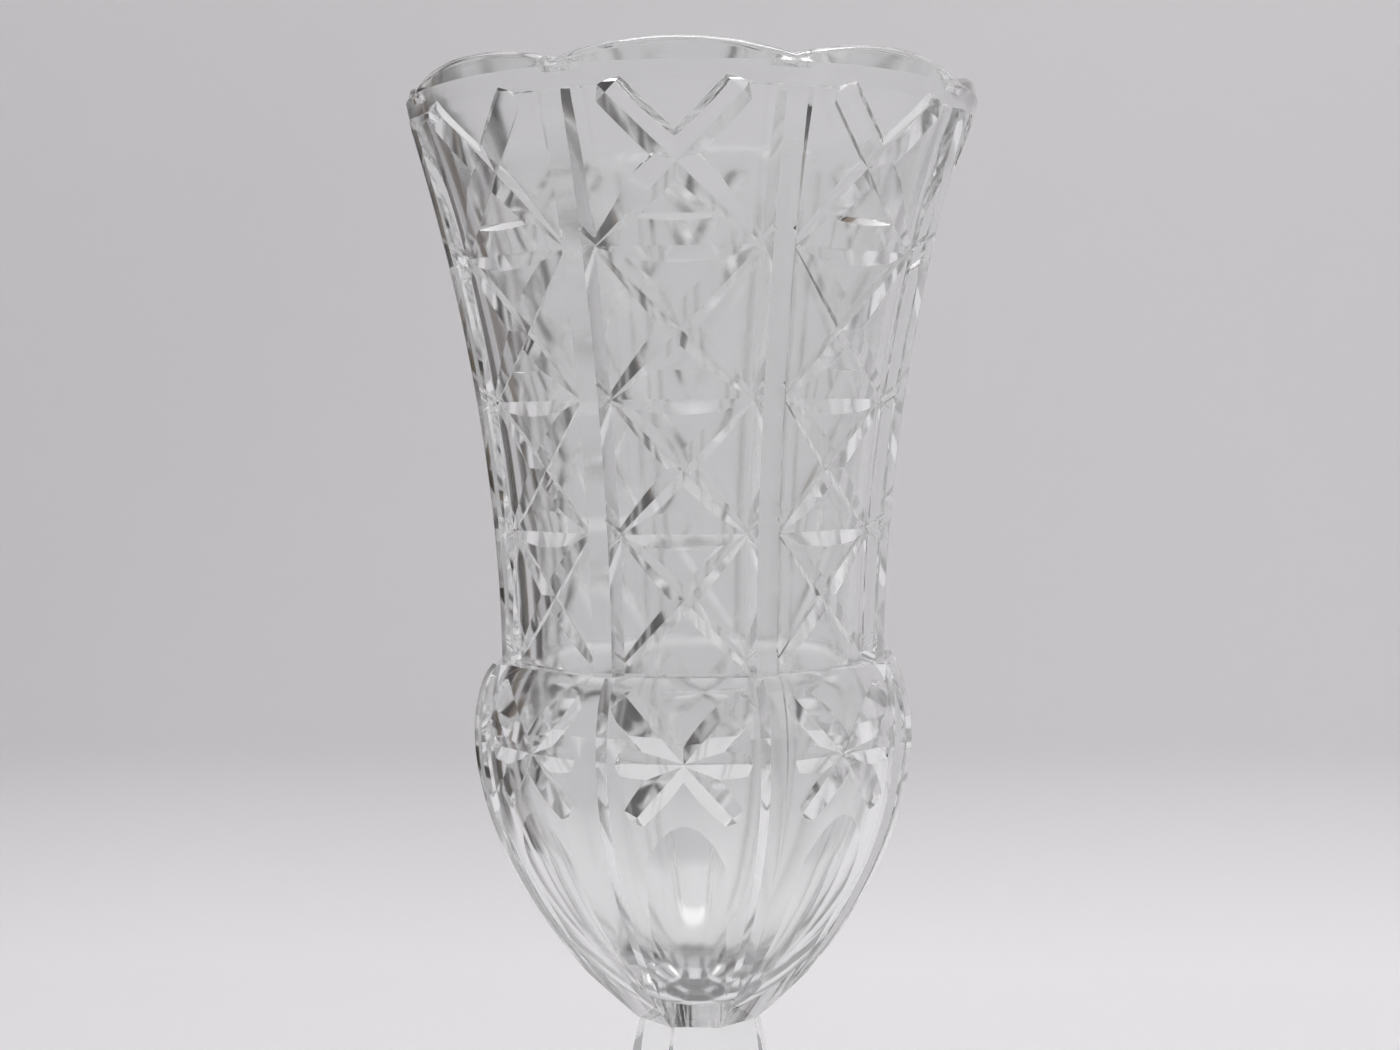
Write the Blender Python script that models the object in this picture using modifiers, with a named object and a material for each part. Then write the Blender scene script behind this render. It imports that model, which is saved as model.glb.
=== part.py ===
"""Cut crystal footed vase as four glass solids: upper body, bowl, stem and foot.

Metres, +Z up. The vase stands on z = 0 with its axis on Z, and one of its eight panels faces -Y.
Neighbouring solids meet in a rebate or a peg joint, with JOINT_GAP of clearance all round.
"""

from math import asin, cos, pi, radians, sin, sqrt

import bmesh
import bpy
from mathutils import Matrix, Vector

MM = 0.001

# Overall layout
PANELS = 8
SEGMENTS = 48
JOINT_GAP = 0.3 * MM
RIM_Z = 300.5 * MM
COLLAR_Z = 165.0 * MM
BOWL_BASE_Z = 78.0 * MM
FOOT_TOP_Z = 31.0 * MM
AXIS_R = 0.0

# Upper body
WAIST_R = 47.0 * MM
LIP_R = 67.6 * MM
FLARE_R = 22.9 * MM
FLARE_H = 133.0 * MM
FLARE_POWER = 1.89
FLARE_ROWS = 11
RIM_WALL = 7.0 * MM
WAIST_WALL = 9.0 * MM
SPIGOT_R = 42.0 * MM
SPIGOT_DEPTH = 6.0 * MM
SCALLOP_R = 95.0 * MM
SCALLOP_CUT_Z = 290.0 * MM
SCALLOP_SEGMENTS = 100

# Bowl
SHOULDER_R = 54.0 * MM
SHOULDER_Z = 148.5 * MM
SHOULDER_H = 17.5 * MM
BOWL_BASE_R = 16.0 * MM
BOWL_POWER = 1.85
BOWL_WALL = 9.2 * MM
BOWL_FLOOR_Z = 92.0 * MM
BOWL_ROWS = 10
SHOULDER_ROWS = 4

# Stem and foot
PEG_R = 7.0 * MM
PEG_LENGTH = 5.0 * MM
STEM_TOP_R = 15.0 * MM
KNOP_R = 17.8 * MM
KNOP_Z = 62.0 * MM
STEM_WAIST_R = 12.2 * MM
STEM_WAIST_Z = 41.0 * MM
STEM_ROWS = 6
FOOT_NECK_R = 14.0 * MM
FOOT_R = 47.0 * MM
FOOT_EDGE_Z = 3.5 * MM
FOOT_ROWS = 8
REST_OUTER_R = 45.5 * MM
REST_INNER_R = 34.0 * MM
DISH_DEPTH = 1.5 * MM

# Mitre cuts
PANEL_HALF_ANGLE = radians(17.8)
LEVEL_HALF_ANGLE = radians(17.2)
NODE_GAP = 0.8 * MM
FALLING_INSET = 0.15 * MM
MITRE_HALF_WIDTH = 5.7 * MM
MITRE_HALF_HEIGHT = 4.0 * MM
MITRE_OVERRUN = 1.5 * MM
ROW_HEIGHTS = [167.6 * MM, 196.2 * MM, 225.7 * MM, 258.3 * MM, 291.0 * MM]
STAR_Z = 147.4 * MM
STAR_HIGH_PIT = 2.0 * MM
STAR_LOW_PIT = 1.7 * MM
STAR_TOP_Z = 162.5 * MM
STAR_LOW_Z = 134.5 * MM
STAR_LOW_ANGLE = radians(13.5)
STAR_SIDE_ANGLE = radians(17.0)

GLASS_TINT = (0.86, 0.91, 0.91, 1.0)
GLASS_IOR = 1.54


def clear_scene():
    for item in list(bpy.data.objects):
        bpy.data.objects.remove(item, do_unlink=True)


def new_collection(name):
    collection = bpy.data.collections.new(name)
    bpy.context.scene.collection.children.link(collection)
    return collection


def new_object(name, mesh, collection):
    item = bpy.data.objects.new(name, mesh)
    collection.objects.link(item)
    return item


def glass_material(name, tint):
    material = bpy.data.materials.new(name)
    material.use_nodes = True
    shader = material.node_tree.nodes["Principled BSDF"]
    shader.inputs["Base Color"].default_value = tint
    shader.inputs["Roughness"].default_value = 0.03
    shader.inputs["Metallic"].default_value = 0.0
    shader.inputs["Transmission Weight"].default_value = 1.0
    shader.inputs["IOR"].default_value = GLASS_IOR
    return material


def upper_radius(z):
    """Outer radius of the flared upper body."""
    lift = max(z - COLLAR_Z, 0.0) / FLARE_H
    return min(WAIST_R + FLARE_R * lift**FLARE_POWER, LIP_R)


def upper_wall(z):
    share = (z - COLLAR_Z) / (RIM_Z - COLLAR_Z)
    return WAIST_WALL + (RIM_WALL - WAIST_WALL) * share


def bowl_radius(z):
    """Outer radius of the bowl: a power curve up to the shoulder, then a quarter ellipse."""
    if z <= SHOULDER_Z:
        rise = (z - BOWL_BASE_Z) / (SHOULDER_Z - BOWL_BASE_Z)
        return BOWL_BASE_R + (SHOULDER_R - BOWL_BASE_R) * (1 - (1 - rise) ** BOWL_POWER)
    over = (z - SHOULDER_Z) / SHOULDER_H
    return WAIST_R + (SHOULDER_R - WAIST_R) * sqrt(1 - over**2)


def spread(start, end, rows):
    """Evenly spaced values from start to end, rows intervals apart."""
    return [start + (end - start) * i / rows for i in range(rows + 1)]


def turned(name, profile, collection, steps, closed):
    """A profile of (radius, z) points, run down the outer side, turned about Z."""
    mesh = bpy.data.meshes.new(name)
    edges = [(i, i + 1) for i in range(len(profile) - 1)]
    if closed:
        edges.append((len(profile) - 1, 0))
    mesh.from_pydata([(r, 0.0, z) for r, z in profile], edges, [])
    item = new_object(name, mesh, collection)
    screw = item.modifiers.new("Turn", "SCREW")
    screw.angle = 2 * pi
    screw.steps = steps
    screw.render_steps = steps
    screw.use_merge_vertices = True
    screw.merge_threshold = 0.00001
    return item


def subtract(item, cutter, crossing=False):
    """Cut cutter out of item. crossing is for a cutter whose own bars cross each other."""
    cut = item.modifiers.new(cutter.name, "BOOLEAN")
    cut.operation = "DIFFERENCE"
    cut.solver = "EXACT"
    cut.use_self = crossing
    cut.object = cutter


def as_cutter(item):
    item.hide_render = True
    item.display_type = "WIRE"
    return item


def on_panel(radius, angle, z, panel):
    """The point at angle from the middle of a panel. Panel 0 faces -Y."""
    turn = -pi / 2 + panel * 2 * pi / PANELS + angle
    return Vector((radius * cos(turn), radius * sin(turn), z))


def add_mitre(bm, start, end):
    """Add a bar whose V edge runs from start to end, opening away from the axis."""
    along = (end - start).normalized()
    middle = (start + end) / 2
    out = Vector((middle.x, middle.y, 0.0))
    out = (out - along * out.dot(along)).normalized()
    side = along.cross(out)
    shape = Matrix.Diagonal((MITRE_HALF_WIDTH, MITRE_HALF_HEIGHT, 1.0, 1.0))
    turn = Matrix((side, out, along)).transposed().to_4x4()
    place = Matrix.Translation(middle + out * MITRE_HALF_HEIGHT)
    bmesh.ops.create_cone(
        bm,
        segments=4,
        cap_ends=True,
        radius1=1.0,
        radius2=1.0,
        depth=(end - start).length + 2 * MITRE_OVERRUN,
        matrix=place @ turn @ shape,
    )


def mitre_cutter(name, lines, collection):
    bm = bmesh.new()
    for start, end in lines:
        add_mitre(bm, start, end)
    bmesh.ops.recalc_face_normals(bm, faces=bm.faces[:])
    mesh = bpy.data.meshes.new(name)
    bm.to_mesh(mesh)
    bm.free()
    return as_cutter(new_object(name, mesh, collection))


def diagonal_lines(side, inset):
    """Mitre lines that climb from one side of each panel to the other, one in every row."""
    lines = []
    for panel in range(PANELS):
        for low_node, high_node in zip(ROW_HEIGHTS, ROW_HEIGHTS[1:]):
            low = low_node + NODE_GAP
            high = high_node - NODE_GAP
            start = on_panel(upper_radius(low) - inset, -side * PANEL_HALF_ANGLE, low, panel)
            end = on_panel(upper_radius(high) - inset, side * PANEL_HALF_ANGLE, high, panel)
            lines.append((start, end))
    return lines


def level_lines():
    lines = []
    for panel in range(PANELS):
        for z in ROW_HEIGHTS[1:-1]:
            start = on_panel(upper_radius(z), -LEVEL_HALF_ANGLE, z, panel)
            end = on_panel(upper_radius(z), LEVEL_HALF_ANGLE, z, panel)
            lines.append((start, end))
    return lines


def star_lines():
    """One level mitre across each bowl panel, and four arms from its middle up and down."""
    lines = []
    for panel in range(PANELS):
        middle_r = bowl_radius(STAR_Z)
        tips = [on_panel(middle_r, side * STAR_SIDE_ANGLE, STAR_Z, panel) for side in (-1, 1)]
        lines.append(tuple(tips))
        high_pit = on_panel(middle_r - STAR_HIGH_PIT, 0.0, STAR_Z, panel)
        low_pit = on_panel(middle_r - STAR_LOW_PIT, 0.0, STAR_Z, panel)
        for side in (-1, 1):
            high = on_panel(bowl_radius(STAR_TOP_Z), side * PANEL_HALF_ANGLE, STAR_TOP_Z, panel)
            low = on_panel(bowl_radius(STAR_LOW_Z), side * STAR_LOW_ANGLE, STAR_LOW_Z, panel)
            lines.append((high_pit, high))
            lines.append((low_pit, low))
    return lines


def scallop_cutter(collection):
    """A slab over the rim, less four crossing cylinders that leave one arc on each panel."""
    bpy.ops.mesh.primitive_cylinder_add(
        vertices=SEGMENTS,
        radius=LIP_R * 1.2,
        depth=2 * (RIM_Z - SCALLOP_CUT_Z),
        location=(0, 0, RIM_Z),
    )
    slab = bpy.context.object
    slab.name = "rim_slab"
    bm = bmesh.new()
    for k in range(PANELS // 2):
        turn = Matrix.Rotation(k * 2 * pi / PANELS, 4, "Z") @ Matrix.Rotation(pi / 2, 4, "X")
        bmesh.ops.create_cone(
            bm,
            segments=SCALLOP_SEGMENTS,
            cap_ends=True,
            radius1=SCALLOP_R,
            radius2=SCALLOP_R,
            depth=LIP_R * 3,
            matrix=Matrix.Translation((0, 0, RIM_Z - SCALLOP_R)) @ turn,
        )
    mesh = bpy.data.meshes.new("rim_arcs")
    bm.to_mesh(mesh)
    bm.free()
    arcs = as_cutter(new_object("rim_arcs", mesh, collection))
    for owner in slab.users_collection:
        owner.objects.unlink(slab)
    collection.objects.link(slab)
    subtract(slab, arcs, crossing=True)
    return as_cutter(slab)


def build_upper_body(parts, cutters):
    outer = [(upper_radius(z), z) for z in spread(RIM_Z, COLLAR_Z + JOINT_GAP, FLARE_ROWS)]
    inner = [(upper_radius(z) - upper_wall(z), z) for z in spread(COLLAR_Z, RIM_Z, FLARE_ROWS - 3)]
    spigot_end = COLLAR_Z - SPIGOT_DEPTH + JOINT_GAP
    spigot = [
        (SPIGOT_R - JOINT_GAP, COLLAR_Z + JOINT_GAP),
        (SPIGOT_R - JOINT_GAP, spigot_end),
        (WAIST_R - WAIST_WALL, spigot_end),
    ]
    body = turned("upper_body", outer + spigot + inner, parts, SEGMENTS, closed=True)
    rising = mitre_cutter("rising_mitres", diagonal_lines(1, 0.0), cutters)
    falling = mitre_cutter("falling_mitres", diagonal_lines(-1, FALLING_INSET), cutters)
    level = mitre_cutter("level_mitres", level_lines(), cutters)
    subtract(body, scallop_cutter(cutters))
    for cutter in (level, rising, falling):
        subtract(body, cutter)
    return body


def bowl_floor_profile():
    """Inside of the bowl from the mouth down to the middle of its floor."""
    top_r = WAIST_R - WAIST_WALL
    points = [(top_r, COLLAR_Z - SPIGOT_DEPTH)]
    for z in spread(SHOULDER_Z, BOWL_FLOOR_Z, BOWL_ROWS - 2):
        depth = (z - BOWL_FLOOR_Z) / (SHOULDER_Z - BOWL_FLOOR_Z)
        round_r = (SHOULDER_R - BOWL_WALL) * sin(pi / 2 * depth) ** 0.75
        points.append((min(round_r, bowl_radius(z) - BOWL_WALL), z))
    return points


def build_bowl(parts, cutters):
    shoulder_top = COLLAR_Z
    top_angle = asin((shoulder_top - SHOULDER_Z) / SHOULDER_H)
    outer = []
    for angle in spread(top_angle, 0.0, SHOULDER_ROWS):
        z = SHOULDER_Z + SHOULDER_H * sin(angle)
        outer.append((bowl_radius(z), z))
    outer += [(bowl_radius(z), z) for z in spread(SHOULDER_Z, BOWL_BASE_Z, BOWL_ROWS)[1:]]
    socket = [
        (PEG_R, BOWL_BASE_Z),
        (PEG_R, BOWL_BASE_Z + PEG_LENGTH),
        (AXIS_R, BOWL_BASE_Z + PEG_LENGTH),
    ]
    inner = list(reversed(bowl_floor_profile()))
    rebate = [(SPIGOT_R, COLLAR_Z - SPIGOT_DEPTH), (SPIGOT_R, COLLAR_Z)]
    profile = outer + socket
    bowl = turned("bowl", profile + inner + rebate, parts, SEGMENTS, closed=True)
    subtract(bowl, mitre_cutter("star_mitres", star_lines(), cutters), crossing=True)
    return bowl


def stem_radius(z):
    """Knop above, waist below, in half-cosine sweeps."""
    if z >= KNOP_Z:
        share = (z - KNOP_Z) / (BOWL_BASE_Z - KNOP_Z)
        return KNOP_R + (STEM_TOP_R - KNOP_R) * (1 - cos(share * pi / 2))
    if z >= STEM_WAIST_Z:
        share = (KNOP_Z - z) / (KNOP_Z - STEM_WAIST_Z)
        return KNOP_R + (STEM_WAIST_R - KNOP_R) * (1 - cos(share * pi)) / 2
    share = (STEM_WAIST_Z - z) / (STEM_WAIST_Z - FOOT_TOP_Z)
    return STEM_WAIST_R + (FOOT_NECK_R - STEM_WAIST_R) * (1 - cos(share * pi)) / 2


def build_stem(parts):
    top = BOWL_BASE_Z - JOINT_GAP
    bottom = FOOT_TOP_Z + JOINT_GAP
    peg_r = PEG_R - JOINT_GAP
    upper = [(stem_radius(z), z) for z in spread(top, STEM_WAIST_Z, STEM_ROWS)]
    lower = [(stem_radius(z), z) for z in spread(STEM_WAIST_Z, bottom, STEM_ROWS // 2)[1:]]
    top_peg = [
        (AXIS_R, top + PEG_LENGTH),
        (peg_r, top + PEG_LENGTH),
        (peg_r, top),
    ]
    bottom_peg = [
        (peg_r, bottom),
        (peg_r, bottom - PEG_LENGTH),
        (AXIS_R, bottom - PEG_LENGTH),
    ]
    stem = turned("stem", top_peg + upper + lower + bottom_peg, parts, PANELS, closed=False)
    stem.rotation_euler.z = pi / PANELS
    return stem


def foot_radius(z):
    """Quarter-circle style sweep from the neck out to the edge."""
    share = (z - FOOT_EDGE_Z) / (FOOT_TOP_Z - FOOT_EDGE_Z)
    return FOOT_NECK_R + (FOOT_R - FOOT_NECK_R) * (1 - share) ** 2.6


def build_foot(parts):
    outer = [(foot_radius(z), z) for z in spread(FOOT_TOP_Z, FOOT_EDGE_Z, FOOT_ROWS)]
    socket = [
        (AXIS_R, FOOT_TOP_Z - PEG_LENGTH),
        (PEG_R, FOOT_TOP_Z - PEG_LENGTH),
        (PEG_R, FOOT_TOP_Z),
    ]
    under = [
        (FOOT_R, FOOT_EDGE_Z / 2),
        (REST_OUTER_R, 0.0),
        (REST_INNER_R, 0.0),
        (REST_INNER_R / 2, DISH_DEPTH * 0.8),
        (AXIS_R, DISH_DEPTH),
    ]
    return turned("foot", socket + outer + under, parts, SEGMENTS, closed=False)


def main():
    clear_scene()
    parts = new_collection("cut_crystal_vase")
    cutters = new_collection("cutters")
    pieces = [
        build_upper_body(parts, cutters),
        build_bowl(parts, cutters),
        build_stem(parts),
        build_foot(parts),
    ]
    root = new_object("vase_root", None, parts)
    for piece in pieces:
        piece.parent = root
        tint = glass_material(piece.name + "_glass", GLASS_TINT)
        piece.data.materials.append(tint)


main()
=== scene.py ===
"""Cut crystal footed vase on a pale studio sweep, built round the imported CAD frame.

Metres, +Z up. The vase stands on z = 0 with its axis on Z, and the middle of panel 0 faces -Y.
Each glass piece is made as one 45 degree sector, cut with V bars where it has cuts, and copied
round.
"""

from math import cos, pi, radians, sin, sqrt

import bmesh
import bpy
from mathutils import Matrix, Vector


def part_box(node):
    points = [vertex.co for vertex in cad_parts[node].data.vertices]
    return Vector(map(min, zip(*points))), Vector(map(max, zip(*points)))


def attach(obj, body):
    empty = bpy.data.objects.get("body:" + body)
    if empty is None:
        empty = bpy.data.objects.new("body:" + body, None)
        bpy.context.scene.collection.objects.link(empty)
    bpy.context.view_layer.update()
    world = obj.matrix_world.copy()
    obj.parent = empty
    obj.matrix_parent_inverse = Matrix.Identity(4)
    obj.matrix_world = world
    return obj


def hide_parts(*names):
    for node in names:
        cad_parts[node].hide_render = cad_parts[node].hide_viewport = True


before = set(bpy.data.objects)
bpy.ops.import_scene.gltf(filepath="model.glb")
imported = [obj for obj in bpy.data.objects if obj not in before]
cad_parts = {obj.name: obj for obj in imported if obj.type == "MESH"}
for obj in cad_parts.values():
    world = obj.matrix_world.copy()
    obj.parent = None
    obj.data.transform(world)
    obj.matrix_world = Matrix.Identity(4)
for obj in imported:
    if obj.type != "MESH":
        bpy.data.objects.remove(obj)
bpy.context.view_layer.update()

MM = 0.001

# Layout, from the CAD nodes
PANELS = 8
HALF_PANEL = pi / PANELS
SPIGOT_REACH = 5.7 * MM
RIM_MARGIN = 0.1 * MM
SIDE_MARGIN = 0.05 * MM
FOOT_MARGIN = 0.1 * MM
COLLAR_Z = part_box("upper_body")[0].z + SPIGOT_REACH
BOWL_BASE_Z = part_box("bowl")[0].z
FOOT_TOP_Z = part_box("foot")[1].z
FOOT_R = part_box("foot")[1].x - FOOT_MARGIN
RIM_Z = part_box("upper_body")[1].z - RIM_MARGIN
OUTER_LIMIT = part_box("upper_body")[1].x - SIDE_MARGIN
CONTACT_GAP = 0.02 * MM

# Upper body
WAIST_R = 46.0 * MM
FLARE_R = 22.9 * MM
FLARE_H = 133.0 * MM
FLARE_POWER = 1.89
STRIP_RISE = 1.5 * MM
LIP_R = 67.4 * MM
LIP_LEAN = 0.8 * MM
STRIP_TOP_Z = 290.0 * MM
LIP_LOW_Z = 295.0 * MM
LIP_ROUND = 1.8 * MM
LIP_ROUND_SHARE = 0.8
STRIP_END = 0.3 * MM
SCALLOP_R = 95.0 * MM
RIM_WALL = 6.5 * MM
WAIST_WALL = 8.0 * MM
UPPER_ROWS = 54
TOP_ROWS = 5
LIP_ROWS = 14

# Bowl
SHOULDER_R = 54.4 * MM
SHOULDER_Z = 148.5 * MM
SHOULDER_H = 17.5 * MM
BOWL_BASE_R = 17.0 * MM
BOWL_POWER = 1.85
BOWL_WALL = 9.2 * MM
STEM_TOP_R = 15.0 * MM
BOWL_FLOOR_Z = 88.0 * MM
BOWL_ROWS = 46
CAVITY_ROWS = 26

# Strips between the panels, and the panels' relief
PANEL_COLUMNS = 24
UPPER_STRIP = (2.4 * MM, 1.8 * MM, 3.1 * MM, -0.8 * MM)
BOWL_STRIP = (1.9 * MM, 1.5 * MM, 2.6 * MM, -0.6 * MM)
STRIP_BASE_SHARE = 0.55
STRIP_CROWN = 0.15 * MM
TOP_RELIEF = 0.35
RELIEF_FADE_Z = 262.0 * MM

# Mitre cuts
ARM_SLOPE = 1.5
LEVEL_SLOPE = 2.2
MITRE_CLEAR = 3.0 * MM
NODE_INSET = 0.5 * MM
NODE_OFFSET = 0.3 * MM
CROSSING_STEP = 0.05 * MM
TOP_NODE_INSET = 0.4 * MM
TOP_ARM_TIP = 2.5 * MM
TOP_ARM_TURN = radians(4.2)
ROW_HEIGHTS = [167.6 * MM, 196.2 * MM, 225.7 * MM, 258.3 * MM, 291.0 * MM]
STAR_Z = 146.4 * MM
STAR_PIT = 1.9 * MM
STAR_TIP = 1.8 * MM
STAR_END_SHARE = 0.8
STAR_OVERLAP = 0.3 * MM
PIT_STEP = 0.07 * MM
STAR_ARMS = [
    (18.2, 146.4 * MM),
    (17.0, 162.2 * MM),
    (14.0, 133.0 * MM),
]

# Hollow panels of the lower bowl
FLUTE_TOP_Z = 131.0 * MM
FLUTE_RUN_IN = 8.0 * MM
FLUTE_DEPTH = 1.3 * MM
FLUTE_LOW_DEPTH = 0.1 * MM
FLUTE_HOLLOW_R = 42.0 * MM
FLUTE_HALF_WIDTH = 22.0 * MM
FLUTE_FAR_R = 70.0 * MM
FLUTE_BELOW = 4 * MM
FLUTE_ABOVE = 3 * MM
FLUTE_ROWS = 30
FLUTE_COLUMNS = 14

# Stem and foot
KNOP_R = 17.8 * MM
KNOP_Z = 62.0 * MM
STEM_WAIST_R = 12.2 * MM
STEM_WAIST_Z = 41.0 * MM
STEM_ROWS = 40
FACET_COLUMNS = 10
FOOT_NECK_R = 14.0 * MM
FOOT_EDGE_Z = 3.5 * MM
FOOT_ROWS = 40
FOOT_CROWDING = 1.6
FOOT_SWEEP = 2.6
FOOT_ROUNDING = 0.5
FOOT_EDGE_ROWS = 5
FOOT_EDGE_SHARE = 0.5
REST_INNER_R = 34.0 * MM
DISH_DEPTH = 1.5 * MM
DISH_SLOPE_RUN = 1.2 * MM
DISH_RUN = 3 * MM
DISH_ROWS = 8

# Glass
GLASS_COLOUR = (0.975, 0.985, 0.982, 1.0)
GLASS_IOR = 1.52
WAVE_SCALE = 90.0
WAVE_HEIGHT = 0.2 * MM
WAVE_STRENGTH = 0.15
HAZE_SCALE = 40.0
HAZE_ROUGHNESS = 0.02
INSIDE_ROUGHNESS = 0.12

# Mesh cleaning
MERGE_DISTANCE = 0.001 * MM
WALL_TOLERANCE = 0.002 * MM
SEAM_DISTANCE = 0.01 * MM

# Studio
SWEEP_COLOUR = (0.82, 0.81, 0.82)
SWEEP_FRONT_Y = -0.9
SWEEP_BEND_Y = 0.32
SWEEP_BEND_R = 0.08
SWEEP_TOP_Z = 1.6
SWEEP_HALF_X = 1.6
SWEEP_BEND_ROWS = 16
SWEEP_COLUMNS = 4
SWEEP_ROUGHNESS = 0.9
SWEEP_VARIATION = 0.03
CARD_ROUGHNESS = 0.8
CARD_VARIATION = 0.3
PATCH_SCALE = 2.5
AIR_COLOUR = (1.0, 0.98, 1.0)
AIR_STRENGTH = 0.42
SOFTBOXES = [
    ("top_box", (0.1, 0.25, 1.5), (0.1, 0.251, 0.0), (1.0, 0.6), 14.0, (1.0, 1.0, 1.0)),
    ("right_box", (1.0, -0.7, 0.7), (0.0, 0.0, 0.15), (0.5, 0.9), 1.6, (1.0, 0.99, 0.97)),
]
CARDS = [
    ("dark_flag", (-0.27, 0.35, 0.35), (0.14, 0.8), radians(38), (0.03, 0.028, 0.026)),
    ("taupe_flag", (-0.36, 0.3, 0.35), (0.09, 0.8), radians(50), (0.25, 0.2, 0.15)),
    ("side_flag", (-0.43, 0.22, 0.35), (0.09, 0.8), radians(63), (0.05, 0.045, 0.04)),
]

# Camera
LENS = 51.4
CAMERA_DISTANCE = 0.48
CAMERA_Z = 0.219
CAMERA_TURN = radians(3.4)
CAMERA_AIM = radians(0.14)
CAMERA_DOWN = radians(2.72)
CAMERA_ROLL = radians(-0.45)

# Light paths
GLASS_BOUNCES = 24
GLOSSY_BOUNCES = 12

# Kinds of surface while a piece is made, which shade() turns into material slots
BODY, MITRE, BOND, FLUTE, INNER = range(5)
SHARP_ANGLE = radians(20)


def at(radius, angle, z):
    """A point at angle from the middle of panel 0."""
    turn = angle - pi / 2
    return Vector((radius * cos(turn), radius * sin(turn), z))


def spread(start, end, rows):
    return [start + (end - start) * i / rows for i in range(rows + 1)]


def upper_radius(z):
    """Radius of the strips on the flared upper body."""
    lift = max(z - COLLAR_Z, 0.0) / FLARE_H
    return min(WAIST_R + FLARE_R * lift**FLARE_POWER + STRIP_RISE, OUTER_LIMIT)


def upper_inner_radius(z):
    share = (z - COLLAR_Z) / (RIM_Z - COLLAR_Z)
    lift = max(z - COLLAR_Z, 0.0) / FLARE_H
    wall = WAIST_WALL + (RIM_WALL - WAIST_WALL) * share
    return min(WAIST_R + FLARE_R * lift**FLARE_POWER, LIP_R) - wall


def bowl_radius(z):
    """Radius of the strips on the bowl: a power curve, then a quarter ellipse."""
    if z <= SHOULDER_Z:
        rise = (z - BOWL_BASE_Z) / (SHOULDER_Z - BOWL_BASE_Z)
        return BOWL_BASE_R + (SHOULDER_R - BOWL_BASE_R) * (1 - (1 - rise) ** BOWL_POWER)
    neck = WAIST_R + STRIP_RISE
    over = (z - SHOULDER_Z) / SHOULDER_H
    return neck + (SHOULDER_R - neck) * sqrt(1 - over**2)


def bowl_inner_radius(z):
    """Inside of the bowl: joins the upper body's inside at the collar, round at the floor."""
    neck = WAIST_R - WAIST_WALL
    wide = SHOULDER_R - BOWL_WALL
    if z > SHOULDER_Z:
        over = (z - SHOULDER_Z) / (COLLAR_Z - SHOULDER_Z)
        return neck + (wide - neck) * (1 + cos(over * pi)) / 2
    depth = (z - BOWL_FLOOR_Z) / (SHOULDER_Z - BOWL_FLOOR_Z)
    return wide * sqrt(sin(pi / 2 * max(depth, 0.0)))


def outer_row(radius, z, strip, fade=1.0, relief=1.0):
    """One row of (radius, angle, z) across a sector: half a strip, a panel, half a strip.
    fade shrinks the whole strip, relief only its height."""
    half_land, bevel, recess, crown = (size * fade for size in strip)
    recess *= relief
    crown *= relief
    land = HALF_PANEL - half_land / radius
    edge = land - bevel / radius
    row = [(radius, -HALF_PANEL, z), (radius - STRIP_CROWN, -land, z)]
    for share in spread(-1.0, 1.0, PANEL_COLUMNS):
        row.append((radius - recess + crown * (1 - share**2), edge * share, z))
    return row + [(radius - STRIP_CROWN, land, z), (radius, HALF_PANEL, z)]


def top_row(z, share):
    """A row above the strips' square ends, where the panels run out into the round lip."""
    recess = UPPER_STRIP[2] * TOP_RELIEF * (1 - share)
    return plain_row(min(upper_radius(z), LIP_R) - recess, z, outer_row(LIP_R, z, UPPER_STRIP))


def plain_row(radius, z, guide):
    """A row of one radius, at the angles of guide. z may be a function of the angle."""
    return [(radius, angle, z(angle) if callable(z) else z) for _, angle, _ in guide]


def panel_edge(radius, strip):
    """(angle, radius) where the panel meets the strip's bevel."""
    half_land, bevel, recess, _ = strip
    return HALF_PANEL - (half_land + bevel) / radius, radius - recess


def upper_relief(z):
    """The panels get shallower towards the lip."""
    share = max((z - RELIEF_FADE_Z) / (STRIP_TOP_Z - RELIEF_FADE_Z), 0.0)
    return 1 - (1 - TOP_RELIEF) * share**2


def rim_height(angle):
    """Each panel's rim is one arc, lowest over the strips."""
    across = (LIP_R - RIM_WALL / 2) * sin(angle)
    return RIM_Z - SCALLOP_R + sqrt(SCALLOP_R**2 - across**2)


def sector_object(name, rows, bonds, inner=()):
    """A closed 45 degree sector from a closed loop of rows. A contact face runs on to the next
    row from each row in bonds, and a face of the hollow from each row in inner."""
    bm = bmesh.new()
    grid = [[bm.verts.new(at(*point)) for point in row] for row in rows]
    kinds = dict.fromkeys(inner, INNER) | {b % len(grid): BOND for b in bonds}
    for k, (low, high) in enumerate(zip(grid, grid[1:] + grid[:1])):
        for i in range(len(low) - 1):
            face = bm.faces.new((low[i], low[i + 1], high[i + 1], high[i]))
            face.material_index = kinds.get(k, BODY)
    bm.faces.new([row[0] for row in grid])
    bm.faces.new([row[-1] for row in grid])
    bmesh.ops.remove_doubles(bm, verts=bm.verts[:], dist=MERGE_DISTANCE)
    bmesh.ops.recalc_face_normals(bm, faces=bm.faces[:])
    return mesh_object(name, bm)


def mesh_object(name, bm):
    mesh = bpy.data.meshes.new(name)
    bm.to_mesh(mesh)
    bm.free()
    item = bpy.data.objects.new(name, mesh)
    bpy.context.scene.collection.objects.link(item)
    return item


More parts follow.
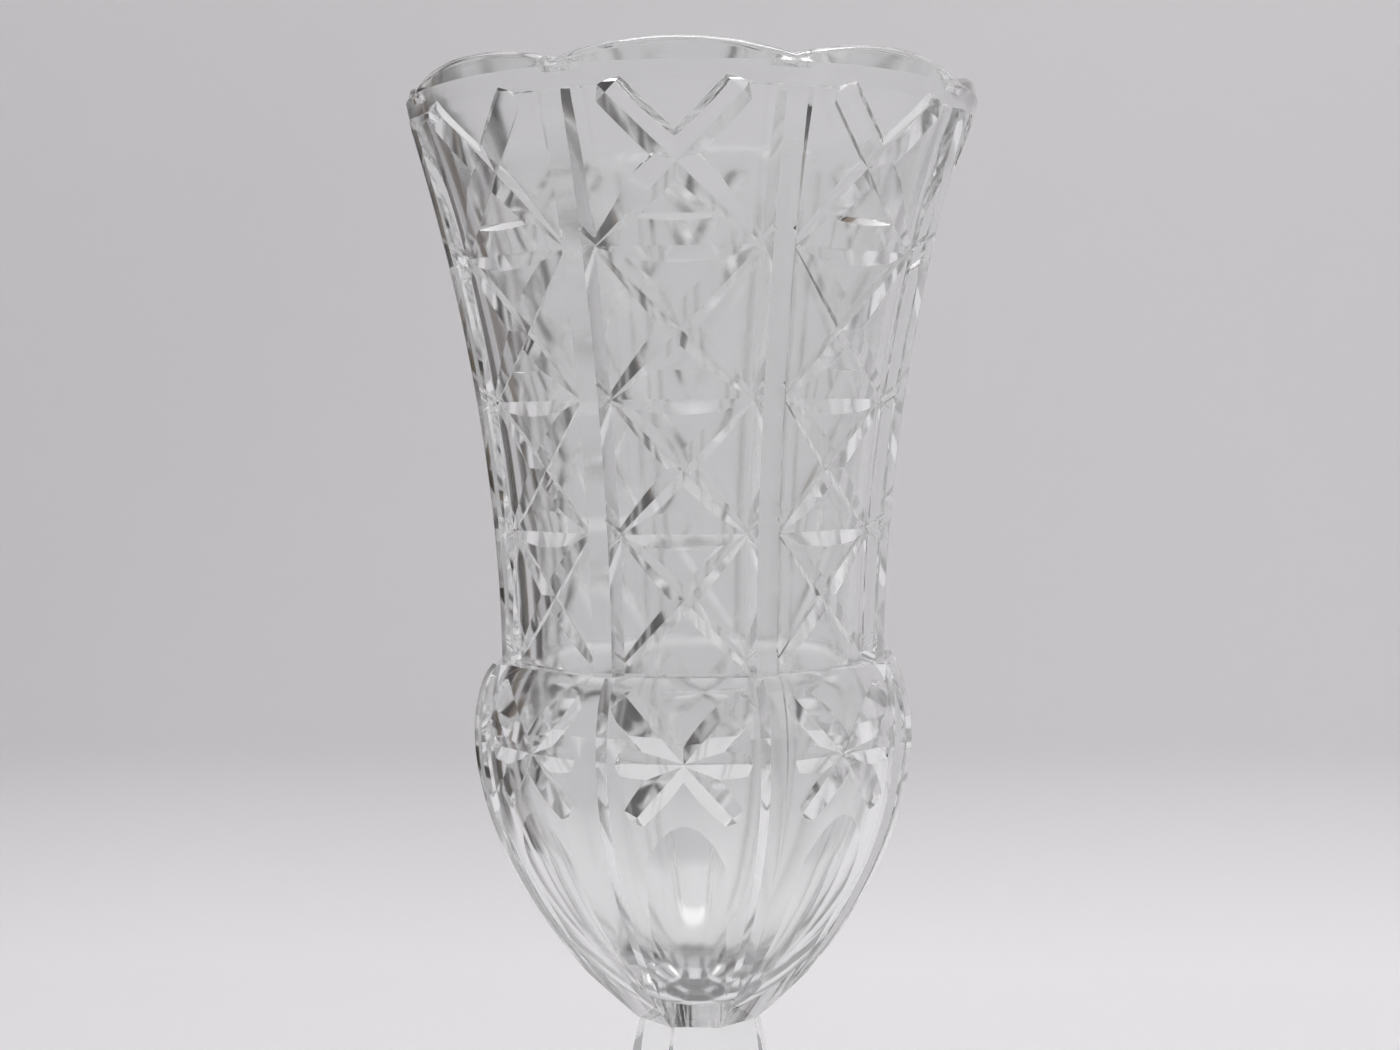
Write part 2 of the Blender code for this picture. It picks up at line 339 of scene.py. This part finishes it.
def mitre_bar(start, end, start_tip, end_tip, slope=ARM_SLOPE):
    """A bar with its V edge from start to end. A tip length ends it in a point, 0 ends it flat."""
    along = (end - start).normalized()
    middle = (start + end) / 2
    out = Vector((middle.x, middle.y, 0.0))
    out = (out - along * out.dot(along)).normalized()
    side = along.cross(out)
    bm = bmesh.new()
    rings = []
    for point in (start + along * start_tip, end - along * end_tip):
        top = point + out * MITRE_CLEAR * 2
        wide = out * MITRE_CLEAR + side * MITRE_CLEAR * slope
        thin = out * MITRE_CLEAR - side * MITRE_CLEAR * slope
        rings.append([bm.verts.new(p) for p in (point, point + wide, top, point + thin)])
    first, last = rings
    for i in range(4):
        bm.faces.new((first[i], first[i - 1], last[i - 1], last[i]))
    for ring, tip, point in ((first, start_tip, start), (last, end_tip, end)):
        if tip:
            apex = bm.verts.new(point + out * MITRE_CLEAR)
            for i in range(4):
                bm.faces.new((ring[i], ring[i - 1], apex))
        else:
            bm.faces.new(ring)
    bmesh.ops.recalc_face_normals(bm, faces=bm.faces[:])
    for face in bm.faces:
        face.material_index = MITRE
    return mesh_object("mitre_bar", bm)


def flute_cutter():
    """Hollows the lower bowl panel: its arched top starts where the cutter leaves the surface."""
    bm = bmesh.new()
    rows = []
    for z in spread(BOWL_BASE_Z - FLUTE_BELOW, FLUTE_TOP_Z + FLUTE_ABOVE, FLUTE_ROWS):
        rise = min(max((FLUTE_TOP_Z - z) / FLUTE_RUN_IN, -1.0), 1.0)
        share = min(max((z - BOWL_BASE_Z) / (FLUTE_TOP_Z - BOWL_BASE_Z), 0.0), 1.0)
        depth = (FLUTE_LOW_DEPTH + (FLUTE_DEPTH - FLUTE_LOW_DEPTH) * share) * rise
        base_r = bowl_radius(max(z, BOWL_BASE_Z)) - BOWL_STRIP[2] + BOWL_STRIP[3]
        row = []
        for across in spread(-FLUTE_HALF_WIDTH, FLUTE_HALF_WIDTH, FLUTE_COLUMNS):
            bow = across**2 / (2 * FLUTE_HOLLOW_R)
            row.append(bm.verts.new((across, -(base_r - depth + bow), z)))
        row.append(bm.verts.new((FLUTE_HALF_WIDTH, -FLUTE_FAR_R, z)))
        row.append(bm.verts.new((-FLUTE_HALF_WIDTH, -FLUTE_FAR_R, z)))
        rows.append(row)
    for low, high in zip(rows, rows[1:]):
        for i in range(len(low)):
            bm.faces.new((low[i - 1], low[i], high[i], high[i - 1]))
    bm.faces.new(rows[0])
    bm.faces.new(rows[-1])
    bmesh.ops.recalc_face_normals(bm, faces=bm.faces[:])
    for face in bm.faces:
        face.material_index = FLUTE
    return mesh_object("flute_cutter", bm)


def cut_sector(item, cutters):
    for cutter in cutters:
        cut = item.modifiers.new(cutter.name, "BOOLEAN")
        cut.operation = "DIFFERENCE"
        cut.solver = "EXACT"
        cut.object = cutter
    bpy.context.view_layer.update()
    result = item.evaluated_get(bpy.context.evaluated_depsgraph_get())
    bm = bmesh.new()
    bm.from_mesh(result.to_mesh())
    result.to_mesh_clear()
    for used in [item, *cutters]:
        bpy.data.objects.remove(used, do_unlink=True)
    return bm


def ring_of_sectors(name, bm):
    """Drops the sector's two side walls and copies it round into one closed body."""
    sides = [Vector((cos(a), sin(a), 0.0)) for a in (HALF_PANEL, pi - HALF_PANEL)]
    walls = [
        face
        for face in bm.faces
        if any(all(abs(v.co.dot(side)) < WALL_TOLERANCE for v in face.verts) for side in sides)
    ]
    bmesh.ops.delete(bm, geom=walls, context="FACES")
    sector = bm.verts[:] + bm.edges[:] + bm.faces[:]
    for k in range(1, PANELS):
        copied = bmesh.ops.duplicate(bm, geom=sector)["geom"]
        verts = [part for part in copied if isinstance(part, bmesh.types.BMVert)]
        turn = Matrix.Rotation(2 * pi * k / PANELS, 3, "Z")
        bmesh.ops.rotate(bm, verts=verts, cent=(0, 0, 0), matrix=turn)
    bmesh.ops.remove_doubles(bm, verts=bm.verts[:], dist=SEAM_DISTANCE)
    shade(bm)
    return mesh_object(name, bm)


def shade(bm):
    """Smooth body, flat mitre faces, and a sharp edge wherever one surface ends."""
    for face in bm.faces:
        face.smooth = face.material_index != MITRE
    for edge in bm.edges:
        kinds = {face.material_index for face in edge.link_faces}
        edge.smooth = len(kinds) == 1 and edge.calc_face_angle(0.0) < SHARP_ANGLE
    slots = {BOND: 1, INNER: 2}
    for face in bm.faces:
        face.material_index = slots.get(face.material_index, 0)


def upper_body():
    low = COLLAR_Z + CONTACT_GAP
    rows = []
    for z in spread(low, STRIP_TOP_Z, UPPER_ROWS):
        rows.append(outer_row(upper_radius(z), z, UPPER_STRIP, relief=upper_relief(z)))
    guide = outer_row(LIP_R, LIP_LOW_Z, UPPER_STRIP)
    for share in spread(0.0, 1.0, TOP_ROWS):
        z = STRIP_TOP_Z + STRIP_END + (LIP_LOW_Z - STRIP_TOP_Z - STRIP_END) * share
        rows.append(top_row(z, share))
    middle = LIP_R - RIM_WALL / 2
    half_top = RIM_WALL / 2 - LIP_LEAN

    def lip_height(turn):
        def height(angle):
            top = rim_height(angle)
            reach = min(LIP_ROUND, (top - LIP_LOW_Z) * LIP_ROUND_SHARE)
            return top - reach + reach * sin(turn)

        return height

    for turn in spread(0.0, pi, LIP_ROWS):
        rows.append(plain_row(middle + half_top * cos(turn), lip_height(turn), guide))
    hollow = len(rows)
    for z in spread(LIP_LOW_Z, low, UPPER_ROWS):
        rows.append(plain_row(upper_inner_radius(z), z, guide))
    sector = sector_object("upper_sector", rows, [-1], range(hollow - 1, len(rows) - 1))

    bars = []
    for z in ROW_HEIGHTS[1:-1]:
        angle, r = panel_edge(upper_radius(z), UPPER_STRIP)
        ends = [at(r - NODE_INSET, side * angle, z) for side in (-1, 1)]
        bars.append(mitre_bar(ends[0], ends[1], 0.0, 0.0, LEVEL_SLOPE))
    for low_z, high_z in zip(ROW_HEIGHTS, ROW_HEIGHTS[1:]):
        low_angle, low_r = panel_edge(upper_radius(low_z), UPPER_STRIP)
        high_angle, high_r = panel_edge(upper_radius(high_z), UPPER_STRIP)
        last = high_z == ROW_HEIGHTS[-1]
        for side in (-1, 1):
            inset = NODE_INSET + (side + 1) * CROSSING_STEP
            start = at(low_r - inset, -side * low_angle, low_z + NODE_OFFSET)
            if last:
                end = at(high_r - TOP_NODE_INSET, side * (high_angle - TOP_ARM_TURN), high_z)
            else:
                end = at(high_r - inset, side * high_angle, high_z - NODE_OFFSET)
            bars.append(mitre_bar(start, end, 0.0, TOP_ARM_TIP if last else 0.0))
    return ring_of_sectors("upper_body_crystal", cut_sector(sector, bars))


def bowl():
    high = COLLAR_Z - CONTACT_GAP
    low = BOWL_BASE_Z + CONTACT_GAP
    rows = []
    for z in spread(low, high, BOWL_ROWS):
        rise = (z - low) / (SHOULDER_Z - low)
        fade = min(STRIP_BASE_SHARE + (1 - STRIP_BASE_SHARE) * rise, 1.0)
        rows.append(outer_row(bowl_radius(z), z, BOWL_STRIP, fade))
    guide = rows[-1]
    rows.append(outer_row(upper_radius(high), high, UPPER_STRIP))
    for depth in spread(0.0, 1.0, CAVITY_ROWS):
        z = high + (BOWL_FLOOR_Z - high) * sin(depth * pi / 2)
        rows.append(plain_row(bowl_inner_radius(z), z, guide))
    rows.append(plain_row(0.0, low, guide))
    rows.append(plain_row(STEM_TOP_R * cos(HALF_PANEL), low, guide))
    hollow = range(BOWL_ROWS + 2, BOWL_ROWS + 2 + CAVITY_ROWS)
    sector = sector_object("bowl_sector", rows, [BOWL_ROWS + 1, -2], hollow)

    bars = []
    star_r = bowl_radius(STAR_Z) - BOWL_STRIP[2] + BOWL_STRIP[3]
    for degrees, z in STAR_ARMS:
        for side in (-1, 1):
            pit = at(star_r - STAR_PIT + len(bars) * PIT_STEP, 0.0, STAR_Z)
            end_r = bowl_radius(z) - BOWL_STRIP[2] - STAR_PIT * STAR_END_SHARE
            end = at(end_r, side * radians(degrees), z)
            inner = pit + (pit - end).normalized() * (STAR_OVERLAP + len(bars) * PIT_STEP)
            bars.append(mitre_bar(inner, end, 0.0, STAR_TIP))
    bars.append(flute_cutter())
    return ring_of_sectors("bowl_crystal", cut_sector(sector, bars))


def stem_radius(z):
    """Corner radius of the stem: knop above, waist below, in half-cosine sweeps."""
    if z >= KNOP_Z:
        share = (z - KNOP_Z) / (BOWL_BASE_Z - KNOP_Z)
        return KNOP_R + (STEM_TOP_R - KNOP_R) * (1 - cos(share * pi / 2))
    if z >= STEM_WAIST_Z:
        share = (KNOP_Z - z) / (KNOP_Z - STEM_WAIST_Z)
        return KNOP_R + (STEM_WAIST_R - KNOP_R) * (1 - cos(share * pi)) / 2
    share = (STEM_WAIST_Z - z) / (STEM_WAIST_Z - FOOT_TOP_Z)
    return STEM_WAIST_R + (FOOT_NECK_R - STEM_WAIST_R) * (1 - cos(share * pi)) / 2


def facet_row(radius, z, roundness=0.0):
    """A row across one flat facet whose corners have this radius. roundness 1 is a circle."""
    row = []
    for angle in spread(-HALF_PANEL, HALF_PANEL, FACET_COLUMNS):
        flat = radius * cos(HALF_PANEL) / cos(angle)
        row.append((flat + (radius - flat) * roundness, angle, z))
    return row


def stem():
    low = FOOT_TOP_Z + CONTACT_GAP
    high = BOWL_BASE_Z - CONTACT_GAP
    rows = [facet_row(stem_radius(z), z) for z in spread(low, high, STEM_ROWS)]
    rows.append(plain_row(0.0, high, rows[0]))
    rows.append(plain_row(0.0, low, rows[0]))
    sector = sector_object("stem_sector", rows, [STEM_ROWS, -1])
    return ring_of_sectors("stem_crystal", cut_sector(sector, []))


def foot():
    """Spreading foot, faceted at the neck and round at its edge, with a shallow dish under it."""
    high = FOOT_TOP_Z - CONTACT_GAP
    rows = []
    for share in spread(0.0, 1.0, FOOT_ROWS):
        z = FOOT_EDGE_Z + (high - FOOT_EDGE_Z) * share**FOOT_CROWDING
        out = (1 - (z - FOOT_EDGE_Z) / (high - FOOT_EDGE_Z)) ** FOOT_SWEEP
        radius = FOOT_NECK_R + (FOOT_R - FOOT_NECK_R) * out
        rows.append(facet_row(radius, z, out**FOOT_ROUNDING))
    rows.reverse()
    for turn in spread(0.0, pi / 2, FOOT_EDGE_ROWS)[1:]:
        r = FOOT_R - FOOT_EDGE_Z * FOOT_EDGE_SHARE * (1 - cos(turn))
        rows.append(facet_row(r, FOOT_EDGE_Z * (1 - sin(turn)), 1.0))
    rows.append(facet_row(REST_INNER_R, 0.0, 1.0))
    rows.append(facet_row(REST_INNER_R - DISH_SLOPE_RUN, DISH_DEPTH / 2, 1.0))
    for radius in spread(REST_INNER_R - DISH_RUN, 0.0, DISH_ROWS):
        rows.append(facet_row(radius, DISH_DEPTH, 1.0))
    rows.append(plain_row(0.0, high, rows[0]))
    sector = sector_object("foot_sector", rows, [-1])
    return ring_of_sectors("foot_crystal", cut_sector(sector, []))


def crystal_material(name, roughness, bond=False):
    """Clear crystal with a faint grey-green cast. roughness is its least, and the haze adds a
    little in patches. A bond face lets light straight on, so it takes neither."""
    material = bpy.data.materials.new(name)
    material.use_nodes = True
    nodes, links = material.node_tree.nodes, material.node_tree.links
    shader = nodes["Principled BSDF"]
    shader.inputs["Base Color"].default_value = GLASS_COLOUR
    shader.inputs["IOR"].default_value = GLASS_IOR
    shader.inputs["Transmission Weight"].default_value = 1.0
    shader.inputs["Roughness"].default_value = 0.0
    if bond:
        shader.inputs["Alpha"].default_value = 0.0
        return material
    place = nodes.new("ShaderNodeTexCoord")
    waves = nodes.new("ShaderNodeTexNoise")
    waves.inputs["Scale"].default_value = WAVE_SCALE
    waves.inputs["Detail"].default_value = 2.0
    bump = nodes.new("ShaderNodeBump")
    bump.inputs["Strength"].default_value = WAVE_STRENGTH
    bump.inputs["Distance"].default_value = WAVE_HEIGHT
    haze = nodes.new("ShaderNodeTexNoise")
    haze.inputs["Scale"].default_value = HAZE_SCALE
    spread_haze = nodes.new("ShaderNodeMapRange")
    spread_haze.inputs["To Min"].default_value = roughness
    spread_haze.inputs["To Max"].default_value = roughness + HAZE_ROUGHNESS
    for noise in (waves, haze):
        links.new(place.outputs["Object"], noise.inputs["Vector"])
    links.new(waves.outputs["Fac"], bump.inputs["Height"])
    links.new(bump.outputs["Normal"], shader.inputs["Normal"])
    links.new(haze.outputs["Fac"], spread_haze.inputs["Value"])
    links.new(spread_haze.outputs["Result"], shader.inputs["Roughness"])
    return material


def plain_material(name, colour, roughness, variation):
    """A matt studio surface, a little lighter and darker in large soft patches."""
    material = bpy.data.materials.new(name)
    material.use_nodes = True
    nodes, links = material.node_tree.nodes, material.node_tree.links
    shader = nodes["Principled BSDF"]
    shader.inputs["Roughness"].default_value = roughness
    shader.inputs["Specular IOR Level"].default_value = 0.1
    place = nodes.new("ShaderNodeTexCoord")
    patches = nodes.new("ShaderNodeTexNoise")
    patches.inputs["Scale"].default_value = PATCH_SCALE
    patches.inputs["Detail"].default_value = 1.0
    ramp = nodes.new("ShaderNodeValToRGB")
    ramp.color_ramp.elements[0].color = [c * (1 - variation) for c in colour] + [1.0]
    ramp.color_ramp.elements[1].color = [*colour, 1.0]
    ramp.color_ramp.elements[0].position = 0.35
    ramp.color_ramp.elements[1].position = 0.65
    links.new(place.outputs["Object"], patches.inputs["Vector"])
    links.new(patches.outputs["Fac"], ramp.inputs["Fac"])
    links.new(ramp.outputs["Color"], shader.inputs["Base Color"])
    return material


def sweep():
    """Table and backdrop in one sheet, curved up behind the vase."""
    profile = [(SWEEP_FRONT_Y, 0.0), (SWEEP_BEND_Y, 0.0)]
    for turn in spread(0.0, pi / 2, SWEEP_BEND_ROWS)[1:]:
        y = SWEEP_BEND_Y + SWEEP_BEND_R * sin(turn)
        profile.append((y, SWEEP_BEND_R * (1 - cos(turn))))
    profile.append((SWEEP_BEND_Y + SWEEP_BEND_R, SWEEP_TOP_Z))
    bm = bmesh.new()
    rows = []
    for y, z in profile:
        columns = spread(-SWEEP_HALF_X, SWEEP_HALF_X, SWEEP_COLUMNS)
        rows.append([bm.verts.new((x, y, z)) for x in columns])
    for low, high in zip(rows, rows[1:]):
        for i in range(SWEEP_COLUMNS):
            face = bm.faces.new((low[i], low[i + 1], high[i + 1], high[i]))
            face.smooth = True
    item = mesh_object("studio_sweep", bm)
    paper = plain_material("studio_paper", SWEEP_COLOUR, SWEEP_ROUGHNESS, SWEEP_VARIATION)
    item.data.materials.append(paper)


def card(name, place, size, azimuth, colour):
    """An upright flag out of view, for the glass to pick up. It faces the vase's axis."""
    bm = bmesh.new()
    bmesh.ops.create_grid(bm, x_segments=2, y_segments=2, size=0.5)
    bmesh.ops.scale(bm, verts=bm.verts[:], vec=(size[0], size[1], 1.0))
    turn = Matrix.Rotation(azimuth, 4, "Z") @ Matrix.Rotation(pi / 2, 4, "X")
    bmesh.ops.transform(bm, verts=bm.verts[:], matrix=Matrix.Translation(place) @ turn)
    item = mesh_object(name, bm)
    item.data.materials.append(plain_material(name, colour, CARD_ROUGHNESS, CARD_VARIATION))
    item.visible_camera = False
    item.visible_diffuse = False
    item.visible_shadow = False


def softbox(name, place, target, size, power, colour):
    light = bpy.data.lights.new(name, "AREA")
    light.shape = "RECTANGLE"
    light.size, light.size_y = size
    light.energy = power
    light.color = colour
    item = bpy.data.objects.new(name, light)
    item.location = place
    item.rotation_euler = (Vector(target) - Vector(place)).to_track_quat("-Z", "Y").to_euler()
    item.visible_transmission = False
    bpy.context.scene.collection.objects.link(item)


def studio():
    sweep()
    world = bpy.data.worlds.new("studio_air")
    world.use_nodes = True
    world.node_tree.nodes["Background"].inputs["Color"].default_value = (*AIR_COLOUR, 1.0)
    world.node_tree.nodes["Background"].inputs["Strength"].default_value = AIR_STRENGTH
    bpy.context.scene.world = world
    for box in SOFTBOXES:
        softbox(*box)
    for flag in CARDS:
        card(*flag)


def camera():
    data = bpy.data.cameras.new("camera")
    data.sensor_width = 36.0
    data.lens = LENS
    item = bpy.data.objects.new("camera", data)
    item.matrix_world = (
        Matrix.Translation(
            (CAMERA_DISTANCE * sin(CAMERA_TURN), -CAMERA_DISTANCE * cos(CAMERA_TURN), CAMERA_Z)
        )
        @ Matrix.Rotation(CAMERA_TURN - CAMERA_AIM, 4, "Z")
        @ Matrix.Rotation(pi / 2 - CAMERA_DOWN, 4, "X")
        @ Matrix.Rotation(CAMERA_ROLL, 4, "Z")
    )
    bpy.context.scene.collection.objects.link(item)
    bpy.context.scene.camera = item


def main():
    pieces = {
        "upper_body": upper_body(),
        "bowl": bowl(),
        "stem": stem(),
        "foot": foot(),
    }
    for node, piece in pieces.items():
        piece.data.materials.append(crystal_material(node + "_crystal", 0.0))
        piece.data.materials.append(crystal_material(node + "_bond", 0.0, bond=True))
        if node in ("upper_body", "bowl"):
            piece.data.materials.append(crystal_material(node + "_inside", INSIDE_ROUGHNESS))
        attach(piece, "root")
        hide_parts(node)
    studio()
    camera()
    scene = bpy.context.scene
    scene.view_settings.view_transform = "Standard"
    scene.cycles.max_bounces = GLASS_BOUNCES
    scene.cycles.transmission_bounces = GLASS_BOUNCES
    scene.cycles.glossy_bounces = GLOSSY_BOUNCES
    scene.cycles.transparent_max_bounces = GLASS_BOUNCES


main()
